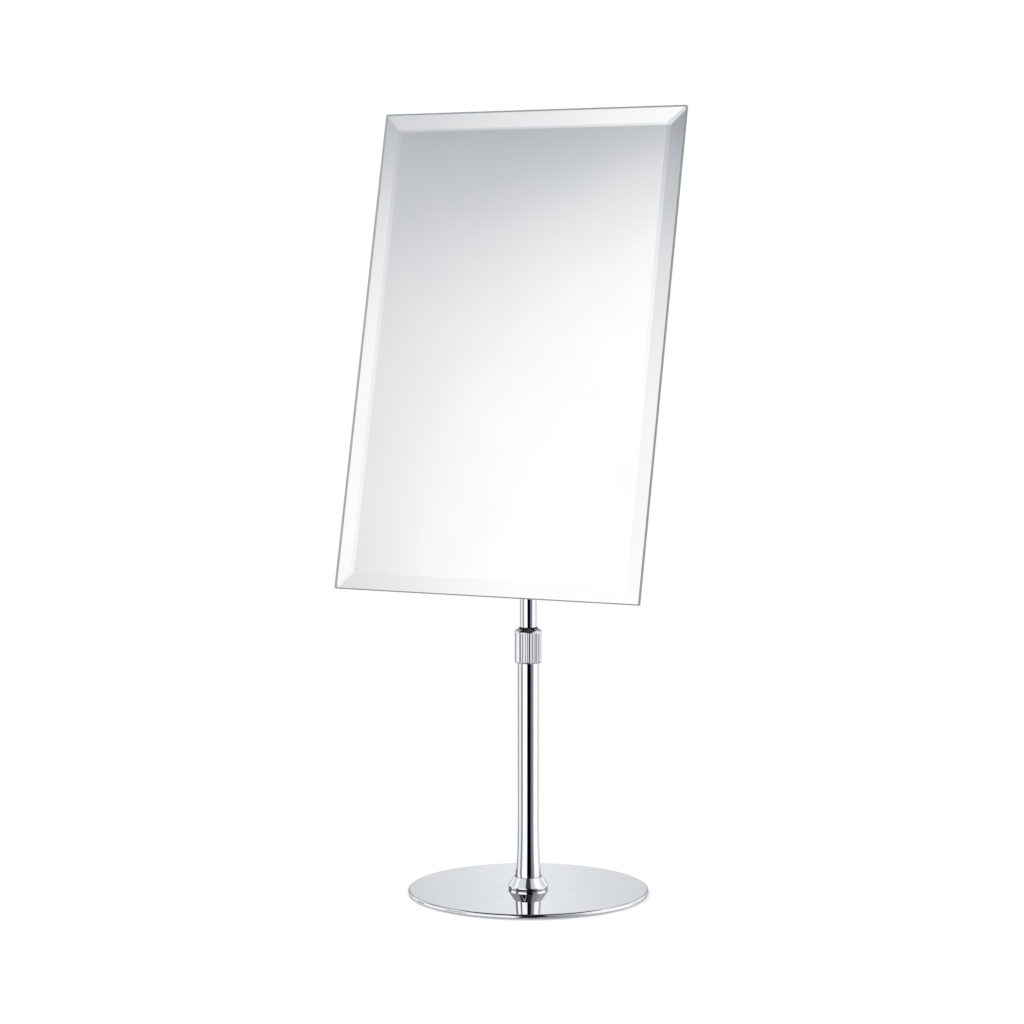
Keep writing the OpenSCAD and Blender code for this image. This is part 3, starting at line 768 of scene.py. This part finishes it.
# %% Outer tube
TUBE_R = 6.75
TUBE_BORE = 5.75
FLARE_H = 34.3
FLARE_STEPS = 16
foot_r, tube_z0, tube_z1 = round_size("outer_tube")
spread = foot_r - TUBE_R
flare_radius = (FLARE_H ** 2 + spread ** 2) / (2 * spread)
flare = []
for i in range(FLARE_STEPS + 1):
    left = FLARE_H * (1 - i / FLARE_STEPS)
    flare.append((TUBE_R + flare_radius - math.sqrt(flare_radius ** 2 - left ** 2),
                  collar_top + FLARE_H - left))
tube = lathe([(TUBE_BORE, tube_z0), (foot_r, tube_z0)] + flare
             + [(TUBE_R, tube_z1), (TUBE_BORE, tube_z1)])
deliver(soften(tube, 0.15), "flared_outer_tube", "outer_tube", POLISHED)
print("the bell's radius is", round(flare_radius), "mm")

# %% [markdown]
# The clamp nut is turned first and knurled after. Its knurl is a straight one of 32 V grooves,
# pressed in by a wheel, which the chamfer at the foot then cuts through. So the nut is spun
# with 20 columns of faces to a groove, and each point of the wall is pressed in to the depth
# of the groove at its angle, or left where the chamfer already lies deeper. The knurled wall is
# polished. The shoulder above the grooves and the flat cone keep their turning marks.

# %% Clamp nut
GROOVES = 32
COLUMNS_PER_GROOVE = 20
GROOVE_WIDTH = 0.9
GROOVE_DEPTH = 0.3
KNURL_TURN = 3.9
GROOVE_FADE = 0.7
NUT_BORE = 7.56
NUT_MOUTH_R = 6.38
NUT_CONE = 1.3
NUT_SHOULDER = 2.1
NUT_ROOF = 2.6
ROOF_HOLE = 5.55
RECESS_R = 6.16
RECESS_DEPTH = 1.8
KNURL_RISE = 0.6
FOOT_BREAK = [(0, 0.12), (0.08, 0.04), (0.1, 0.06)]
MOUTH_BREAK = 0.06
CONE_BREAK = 0.07
BORE_MARGIN = 0.05
CHAMFER_ROWS = 8
WALL_ROWS = 40
SHOULDER_ROWS = 16
nut_r, nut_z0, nut_z1 = round_size("clamp_nut")
shoulder_turn = math.degrees(math.atan((nut_r - NUT_MOUTH_R) / NUT_CONE))
shoulder_z = nut_z1 - NUT_CONE - NUT_SHOULDER * math.tan(math.radians(shoulder_turn / 2))
chamfer_z = nut_z0 + (nut_r - NUT_BORE)
knurl_top = shoulder_z + KNURL_RISE
outline = [(NUT_BORE + out, nut_z0 + up) for out, up in FOOT_BREAK]
outline += straight(outline[-1], (nut_r, chamfer_z), CHAMFER_ROWS)[1:]
outline += straight((nut_r, chamfer_z), (nut_r, shoulder_z), WALL_ROWS)[1:-1]
outline += arc(nut_r - NUT_SHOULDER, shoulder_z, NUT_SHOULDER, 0, shoulder_turn, SHOULDER_ROWS)
outline += [(NUT_MOUTH_R + MOUTH_BREAK, nut_z1 - CONE_BREAK), (NUT_MOUTH_R, nut_z1),
            (RECESS_R + MOUTH_BREAK, nut_z1), (RECESS_R, nut_z1 - MOUTH_BREAK),
            (RECESS_R, nut_z1 - RECESS_DEPTH), (ROOF_HOLE, nut_z1 - RECESS_DEPTH),
            (ROOF_HOLE, nut_z1 - NUT_ROOF), (NUT_BORE, nut_z1 - NUT_ROOF)]
nut = lathe(outline, GROOVES * COLUMNS_PER_GROOVE)
bmesh.ops.rotate(nut, cent=(0, 0, 0), matrix=Matrix.Rotation(math.radians(KNURL_TURN), 3, "Z"),
                 verts=nut.verts)


def press_groove(vert):
    """Moves a point of the nut's wall in to where the knurl presses it."""
    radius = math.hypot(vert.co.x, vert.co.y)
    turn = (math.degrees(math.atan2(vert.co.y, vert.co.x)) - KNURL_TURN) * GROOVES / 360
    across = abs(turn - round(turn)) * 2 * math.pi * nut_r / GROOVES
    run_out = min(1, max(0, (knurl_top - vert.co.z) / GROOVE_FADE))
    depth = GROOVE_DEPTH * max(0, 1 - across / (GROOVE_WIDTH / 2)) * run_out
    pressed = min(radius, nut_r - depth)
    vert.co.x *= pressed / radius
    vert.co.y *= pressed / radius


for vert in nut.verts:
    if math.hypot(vert.co.x, vert.co.y) > NUT_BORE + BORE_MARGIN and vert.co.z < knurl_top:
        press_groove(vert)
for face in nut.faces:
    middle = face.calc_center_median()
    on_cone = middle.z > knurl_top and math.hypot(middle.x, middle.y) > NUT_MOUTH_R
    face.material_index = 1 if on_cone else 0
deliver(nut, "knurled_clamp_nut", "clamp_nut", POLISHED, TURNED)

# %% [markdown]
# A rubber wiper sits in the nut's mouth and keeps dust out of the collet. It is spun like the
# rest, with a slope that leads up to a thin lip round the inner tube.

# %% Wiper ring
WIPER_BORE = 5.3
WIPER_LIP = 0.28
WIPER_SLOPE = 0.35
wiper_r, wiper_z0, wiper_z1 = round_size("wiper_ring")
lip_r = WIPER_BORE + WIPER_LIP
wiper = lathe([(WIPER_BORE, wiper_z0), (wiper_r, wiper_z0), (wiper_r, nut_z1),
               (lip_r, nut_z1 + WIPER_SLOPE), (lip_r, wiper_z1), (WIPER_BORE, wiper_z1)], 96)
deliver(soften(wiper, 0.1), "rubber_wiper_ring", "wiper_ring", RUBBER)

# %% [markdown]
# Holes, slots and sockets are cut as they are in the shop, by running a tool through the
# blank. Here the tool is a second mesh, and a Boolean modifier takes it away. The result is
# read back at once as a plain mesh, so no tool is left in the scene.


# %% Cutting helpers
def combine(blank, operation, *tools):
    """The blank after each tool has been cut from it or joined to it."""
    body = into_scene("blank", as_mesh(blank, "blank"))
    for tool in tools:
        step = body.modifiers.new("cut", "BOOLEAN")
        step.operation = operation
        step.object = into_scene("tool", as_mesh(tool, "tool"))
        step.solver = "EXACT"
    graph = bpy.context.evaluated_depsgraph_get()
    result = bmesh.new()
    result.from_mesh(bpy.data.meshes.new_from_object(body.evaluated_get(graph)))
    for shape in [body] + [m.object for m in body.modifiers]:
        bpy.data.objects.remove(shape)
    bmesh.ops.remove_doubles(result, verts=result.verts, dist=0.002)
    bmesh.ops.dissolve_degenerate(result, edges=result.edges, dist=0.002)
    return outwards(result)


def shift(x=0, y=0, z=0):
    """A matrix that moves by x, y and z."""
    return Matrix.Translation((x, y, z))


def rod(radius, length, matrix=Matrix(), segments=64):
    """A cylinder or prism along Z from the origin, put in place by a matrix."""
    bm = bmesh.new()
    bmesh.ops.create_cone(bm, cap_ends=True, segments=segments, radius1=radius, radius2=radius,
                          depth=length, matrix=matrix @ shift(z=length / 2))
    return bm


def block(low, high):
    """A box between two corners."""
    bm = bmesh.new()
    size = Vector(high) - Vector(low)
    middle = (Vector(high) + Vector(low)) / 2
    bmesh.ops.create_cube(bm, size=1, matrix=Matrix.Translation(middle) @ Matrix.Diagonal((*size, 1)))
    return bm


def hexagon_r(across_flats):
    """Corner radius of a hexagon from its width across flats."""
    return across_flats / 2 / math.cos(math.radians(30))


TO_PLUS_X = Matrix.Rotation(math.radians(90), 4, "Y")
TO_MINUS_X = Matrix.Rotation(math.radians(-90), 4, "Y")
TO_PLUS_Y = Matrix.Rotation(math.radians(-90), 4, "X")

# %% [markdown]
# The inner tube slides in the outer one. Its lower end is turned down for the guide bush, and a
# hole at the back takes the grub screw that pins the yoke. The pivot's height is read from the
# tilt joint, because every piece of the hinge is placed by it.

# %% Inner tube
TILT = next(joint for joint in frame["joints"] if joint["name"] == "mirror_tilt")
PIVOT_Z = TILT["pos_m"][2] / MM
ROD_R = 5.25
ROD_BORE = 4.25
NECK_R = 4.75
NECK_PLAY = 0.1
GRUB_R = 1.5
GRUB_DROP = 9
GRUB_RING = 3
THREAD_PLAY = 0.03
_, rod_z0, rod_z1 = round_size("inner_tube")
neck_top = round_size("guide_bush")[2] + NECK_PLAY
grub_z = rod_z1 - GRUB_DROP
grub_hole = shift(z=grub_z) @ TO_PLUS_Y
inner = lathe([(ROD_BORE, rod_z0), (NECK_R, rod_z0), (NECK_R, neck_top), (ROD_R, neck_top),
               (ROD_R, grub_z - GRUB_RING), (ROD_R, grub_z + GRUB_RING), (ROD_R, rod_z1),
               (ROD_BORE, rod_z1), (ROD_BORE, grub_z + GRUB_RING), (ROD_BORE, grub_z - GRUB_RING)])
inner = combine(soften(inner, 0.12), "DIFFERENCE", rod(GRUB_R + THREAD_PLAY, 10, grub_hole, 48))
deliver(inner, "sliding_inner_tube", "inner_tube", POLISHED)

# %% [markdown]
# The yoke is a casting that grows out of the tube like a bud and ends in a ball, which a slot
# splits into two cheeks. The bud and the ball are spun in one outline. The slot, the pivot bore
# and the flats under the bolt's head and washer are cut afterwards. The grub screw at the back
# is a short pin with a hexagon socket.

# %% Yoke and grub screw
SPIGOT_R = 4.22
CHEEK_X = 4.35
FACE_X = 7.15
HEAD_R = 4.5
BOLT_R = 2.5
PLAY = 0.05
SLOT_FLOOR = PIVOT_Z - 9.4
BUD_STEPS = 16
yoke_r, yoke_foot, _ = round_size("yoke")
bud = [(ROD_R + (yoke_r - ROD_R) * (1 - math.cos(math.pi * i / BUD_STEPS)) / 2,
        rod_z1 + (SLOT_FLOOR - rod_z1) * i / BUD_STEPS) for i in range(BUD_STEPS + 1)]
ball = arc(0, PIVOT_Z, yoke_r, 0, 90, 20)
ball[-1] = (0, PIVOT_Z + yoke_r)
yoke = lathe([(0, yoke_foot), (SPIGOT_R, yoke_foot), (SPIGOT_R, rod_z1)] + bud + ball, 96)


def on_pivot(x, way):
    """A matrix that lays an upright piece on the pivot, with its foot at x."""
    return shift(x, 0, PIVOT_Z) @ way


slot = block((-CHEEK_X, -20, SLOT_FLOOR), (CHEEK_X, 20, PIVOT_Z + 20))
bore = rod(BOLT_R + PLAY, 40, on_pivot(-20, TO_PLUS_X), 48)
flats = [rod(HEAD_R + PLAY, 10, on_pivot(side * FACE_X, turn))
         for side, turn in ((1, TO_PLUS_X), (-1, TO_MINUS_X))]
yoke = combine(yoke, "DIFFERENCE", slot, bore, *flats,
               rod(GRUB_R + THREAD_PLAY, 10, grub_hole, 48))
deliver(soften(yoke, 0.15, 2), "split_ball_yoke", "yoke", CAST)

GRUB_LEN = 3
GRUB_CHAMFER = 0.25
GRUB_SOCKET_AF = 1.95
GRUB_SOCKET_FLOOR = 1.5
grub = lathe([(0, 0), (GRUB_R, 0), (GRUB_R, GRUB_LEN - GRUB_CHAMFER),
              (GRUB_R - GRUB_CHAMFER, GRUB_LEN), (0, GRUB_LEN)], 48)
key = rod(hexagon_r(GRUB_SOCKET_AF), 3, shift(z=GRUB_SOCKET_FLOOR), 6)
grub = combine(grub, "DIFFERENCE", key)
move(grub, grub_hole @ shift(z=ROD_R - GRUB_LEN))
deliver(grub, "hex_grub_screw", "yoke_grub_screw", ZINC)
print("the pivot is", round(PIVOT_Z, 1), "mm up")

# %% [markdown]
# The pivot bolt has a low domed head with a hexagon socket on one side of the ball, and a domed
# cap nut with a plain and a spring washer on the other. Each is modelled upright on Z, as it
# would stand on a bench, and then laid on the pivot.

# %% Pivot bolt, washers and cap nut
HEAD_H = 2.8
HEAD_RIM = 0.35
SOCKET_AF = 3
SOCKET_DEPTH = 1.6
WASHER_T = 0.8
SPLIT_T = 1.2
SPLIT_R = 4.2
SPLIT_SWEEP = 345
CAP_AF = 8
CAP_HEX_H = 3.4
CAP_DOME_H = 3.2
CAP_STEP = 0.2
CAP_TURNED_R = 4.15
CAP_TURNED_Z = 2.6
CLEAR_R = 6
CLEAR_Z = 4


def dome(radius, height, base, steps=10):
    """Points of a shallow dome, from its rim up to the axis."""
    ball = (radius ** 2 + height ** 2) / (2 * height)
    half = math.degrees(math.asin(radius / ball))
    points = arc(0, base + height - ball, ball, 90 - half, 90, steps)
    points[-1] = (0, base + height)
    return points


shank = 2 * FACE_X + WASHER_T + SPLIT_T + CAP_HEX_H
bolt = lathe([(0, -shank), (BOLT_R, -shank), (BOLT_R, 0), (HEAD_R, 0), (HEAD_R, HEAD_RIM)]
             + dome(HEAD_R, HEAD_H - HEAD_RIM, HEAD_RIM), 96)
socket = rod(hexagon_r(SOCKET_AF), 5, shift(z=HEAD_H - SOCKET_DEPTH), 6)
bolt = soften(combine(bolt, "DIFFERENCE", socket), 0.12, 2, 35)
move(bolt, on_pivot(FACE_X, TO_PLUS_X))
deliver(bolt, "domed_pivot_bolt", "pivot_bolt", POLISHED)


def ring(inner_r, outer_r, thick, steps=96, sweep=360):
    """A flat ring that stands on the plane z = 0."""
    return lathe([(inner_r, 0), (outer_r, 0), (outer_r, thick), (inner_r, thick)], steps, sweep)


plain = soften(ring(BOLT_R + PLAY, HEAD_R, WASHER_T), 0.12, 2)
move(plain, on_pivot(-FACE_X, TO_MINUS_X))
deliver(plain, "plain_washer", "pivot_washer", POLISHED)

split = soften(ring(BOLT_R + PLAY, SPLIT_R, SPLIT_T, 80, SPLIT_SWEEP), 0.1, 2)
move(split, on_pivot(-FACE_X - WASHER_T, TO_MINUS_X))
deliver(split, "split_spring_washer", "spring_washer", ZINC)

cap = rod(hexagon_r(CAP_AF), CAP_HEX_H, segments=6)
turned_off = lathe([(0, -1), (CLEAR_R, -1), (CLEAR_R, CAP_TURNED_Z), (CAP_TURNED_R, CAP_HEX_H),
                    (CAP_TURNED_R, CLEAR_Z), (0, CLEAR_Z)], 96)
cap = combine(cap, "INTERSECT", turned_off)
crown_r = CAP_AF / 2 - CAP_STEP
crown = lathe([(0, CAP_HEX_H - 1), (crown_r, CAP_HEX_H - 1)]
              + dome(crown_r, CAP_DOME_H, CAP_HEX_H), 96)
cap = combine(cap, "UNION", crown)
hole = rod(BOLT_R + THREAD_PLAY, CAP_HEX_H, shift(z=-1))
cap = combine(cap, "DIFFERENCE", hole)
soften(cap, 0.1, 2)
move(cap, on_pivot(-FACE_X - WASHER_T - SPLIT_T, TO_MINUS_X))
deliver(cap, "domed_cap_nut", "cap_nut", POLISHED)

# %% [markdown]
# Between the cheeks sit two acetal washers that give the tilt its friction, one on each side
# of the bracket's lug. They are thin rings, so both are made in one mesh.

# %% Friction washers
FRICTION_R = 7.5
FRICTION_T = 0.8


def gather(shapes):
    """Several meshes as one."""
    together = bmesh.new()
    for shape in shapes:
        together.from_mesh(as_mesh(shape, "loose"))
    return together


rings = []
for x in (-CHEEK_X, CHEEK_X - FRICTION_T):
    washer = soften(ring(BOLT_R + PLAY, FRICTION_R, FRICTION_T), 0.1, 2)
    rings.append(move(washer, on_pivot(x, TO_PLUS_X)))
deliver(gather(rings), "acetal_friction_washers", "friction_washers", ACETAL)

# %% [markdown]
# Everything in front of the hinge leans back with the pane. These pieces are modelled upright,
# with the hinge at the origin and the glass towards -Y, and leaned at the end by one matrix.
# The bracket is a casting: a round flange, a boss that carries a lug, and the lug's round end.

# %% Hinge bracket
LEAN = 13
LEANED = shift(z=PIVOT_Z) @ Matrix.Rotation(math.radians(-LEAN), 4, "X")
STANDOFF = 20
FLANGE_R = 24
FLANGE_T = 2.7
LUG_X = 3.5
LUG_R = 8
BOSS_H = 5
BOSS_FOOT_R = 11
BOSS_TOP_R = 4.5
SLEEVE_BORE = 3.38
SCREW_CIRCLE = 34
SCREW_R = 1.5
SCREW_PLAY = 0.2
boss = quarter(BOSS_FOOT_R, 0, BOSS_TOP_R - BOSS_FOOT_R, BOSS_H, 8)
flange = lathe([(0, -FLANGE_T), (FLANGE_R, -FLANGE_T), (FLANGE_R, 0)] + boss
               + [(0, BOSS_H)], 128)
soften(flange, 0.35, 3, 60)
move(flange, shift(y=-STANDOFF) @ TO_PLUS_Y)
lug = combine(block((-LUG_X, -STANDOFF - 1, -LUG_R), (LUG_X, 0, LUG_R)), "UNION",
              rod(LUG_R, 2 * LUG_X, shift(-LUG_X) @ TO_PLUS_X, 96))
soften(lug, 0.4, 3, 40)
bracket = combine(flange, "UNION", lug)
holes = [rod(SLEEVE_BORE, 10, shift(-5) @ TO_PLUS_X, 48)]
SCREWS = [(SCREW_CIRCLE / 2 * math.cos(a), SCREW_CIRCLE / 2 * math.sin(a))
          for a in (math.radians(45 + 90 * i) for i in range(4))]
for x, z in SCREWS:
    holes.append(rod(SCREW_R + SCREW_PLAY, 9, shift(x, -STANDOFF - 5, z) @ TO_PLUS_Y, 32))
bracket = combine(bracket, "DIFFERENCE", *holes)
deliver(move(bracket, LEANED), "cast_hinge_bracket", "hinge_bracket", CAST)

# %% [markdown]
# Four pan-head screws hold the flange. A real cross recess tapers towards its bottom, so that
# the driver centres itself. At this size two straight slots across each other look the same.
# The loop makes the same screw in each of its four places, with its cross turned a little out
# of line, where it stopped when it was driven home.

# %% Bracket screws
PAN_OUTLINE = [(0, -3), (SCREW_R, -3), (SCREW_R, 0), (2.76, 0), (2.76, 0.5), (2.64, 0.85),
               (2.34, 1.25), (1.81, 1.58), (1.0, 1.74), (0, 1.8)]
CROSS_LONG = 1.5
CROSS_WIDE = 0.3
CROSS_FLOOR = 0.7
CROSS_TURN = 0.4
screws = []
for x, z in SCREWS:
    slots = [block((-long, -wide, CROSS_FLOOR), (long, wide, 3))
             for long, wide in ((CROSS_LONG, CROSS_WIDE), (CROSS_WIDE, CROSS_LONG))]
    pan = combine(lathe(PAN_OUTLINE, 48), "DIFFERENCE", *slots)
    turn = Matrix.Rotation(math.atan2(z, x) + CROSS_TURN, 4, "Z")
    screws.append(move(pan, shift(x, -STANDOFF, z) @ TO_PLUS_Y @ turn))
deliver(move(gather(screws), LEANED), "pan_head_screws", "bracket_screws", POLISHED)

# %% [markdown]
# The back panel is a sheet with round corners. A cube is stretched to its size, its four
# corner edges are rounded, and then the outline of both faces gets a small round, as the
# powder coat gives it.

# %% Back panel and mirror paint
PANEL_BACK = -(STANDOFF + FLANGE_T)
PANEL_T = 1.5
PANEL_CORNER = 6
GLASS_W = 205
GLASS_H = 300
PANEL_INSET = 5
TAPE_T = 2
BACKING_BACK = PANEL_BACK - PANEL_T - TAPE_T
BACKING_T = 0.2
BACKING_MARGIN = 0.3
BACKING_GAP = 0.02


def sheet_between(rear, front, width, height):
    """An upright sheet from its rear face forwards."""
    return block((-width / 2, front, -height / 2), (width / 2, rear, height / 2))


def round_corners(bm, radius, segments):
    """Rounds the four edges that run from the rear face to the front face."""
    edges = [e for e in bm.edges if abs(e.verts[0].co.y - e.verts[1].co.y) > 1]
    round_off(bm, edges, radius, segments)


panel = sheet_between(PANEL_BACK, PANEL_BACK - PANEL_T, GLASS_W - 2 * PANEL_INSET,
                      GLASS_H - 2 * PANEL_INSET)
round_corners(panel, PANEL_CORNER, 10)
deliver(move(soften(panel, 0.4, 3, 60), LEANED), "powder_coated_back_panel", "back_panel", POWDER)

paint = sheet_between(BACKING_BACK, BACKING_BACK - BACKING_T + BACKING_GAP,
                      GLASS_W - 2 * BACKING_MARGIN, GLASS_H - 2 * BACKING_MARGIN)
deliver(move(paint, LEANED), "backing_paint", "mirror_backing", PAINT, flat=True)

# %% [markdown]
# The pane is one closed piece of glass, and it is made as a glazier makes it. A sheet is cut to
# size and its corners are nipped round. Each side is then held against a wheel at a slope, which
# grinds a bevel: here a sloping plane cuts the sheet and the cut is closed with a new face, so
# the four slopes meet in true mitres. The arrises are ground, the mitres and the inner edge keep
# the narrow round of the polishing felt, and the rear face carries the silver itself.

# %% Mirror glass
BEVEL_W = 11
BEVEL_DROP = 1.4
GLASS_T = 4
ARRIS = 0.5
CORNER_R = 0.8
POLISH = 0.16
RIDGE_ANGLE = 4
SQUARE_ON = 0.9
glass_back = BACKING_BACK - BACKING_T
glass_front = glass_back - GLASS_T
pane = sheet_between(glass_back, glass_front, GLASS_W, GLASS_H)
round_corners(pane, CORNER_R, 4)
for side in (Vector((1, 0, 0)), Vector((-1, 0, 0)), Vector((0, 0, 1)), Vector((0, 0, -1))):
    edge = side * (GLASS_W if side.x else GLASS_H) / 2
    slope = side * BEVEL_DROP + Vector((0, -BEVEL_W, 0))
    on_edge = edge + Vector((0, glass_front + BEVEL_DROP, 0))
    cut = bmesh.ops.bisect_plane(pane, geom=pane.verts[:] + pane.edges[:] + pane.faces[:],
                                 dist=0.0001, plane_co=on_edge, plane_no=slope, clear_outer=True)
    loop = [item for item in cut["geom_cut"] if isinstance(item, bmesh.types.BMEdge)]
    bmesh.ops.contextual_create(pane, geom=loop)
outwards(pane)
GROUND_FACE, SILVER_FACE = 1, 2
for face in pane.faces:
    if face.normal.y > SQUARE_ON:
        face.material_index = SILVER_FACE
    elif face.normal.y > -SQUARE_ON:
        face.material_index = GROUND_FACE
rims = [e for e in pane.edges
        if sorted(f.material_index == GROUND_FACE for f in e.link_faces) == [False, True]]
round_off(pane, rims, ARRIS, 1, GROUND_FACE)
ridges = [e for e in pane.edges if e.calc_face_angle(0) > math.radians(RIDGE_ANGLE)
          and all(f.material_index == 0 for f in e.link_faces)]
round_off(pane, ridges, POLISH, 2)
outwards(pane)
print("the pane has", len(pane.faces), "faces, its bevel slopes",
      round(math.degrees(math.atan(BEVEL_DROP / BEVEL_W)), 1), "degrees")
deliver(move(pane, LEANED), "bevelled_mirror_glass", "mirror_glass", GLASS, GROUND, SILVER, flat=True)

# %% [markdown]
# The pieces inside the column and the hinge keep the solids they were designed with, because
# their shape is right and little of them shows. They still get the finish of their material.

# %% Inner pieces
INNER = {
    "base_screw": ZINC, "foot_plug": BRASS, "stop_buffer": RUBBER, "tube_ferrule": BRASS,
    "collet": ACETAL, "guide_bush": ACETAL, "thrust_washer": BRASS, "tube_end_plug": BRASS,
    "pivot_sleeve": ACETAL, "tapping_plate": ZINC, "tape_strips": FOAM_TAPE,
}
for node, mat in INNER.items():
    data = frame["nodes"][node].data
    data.materials.clear()
    data.materials.append(mat)
print(len(INNER), "inner pieces have their finish")
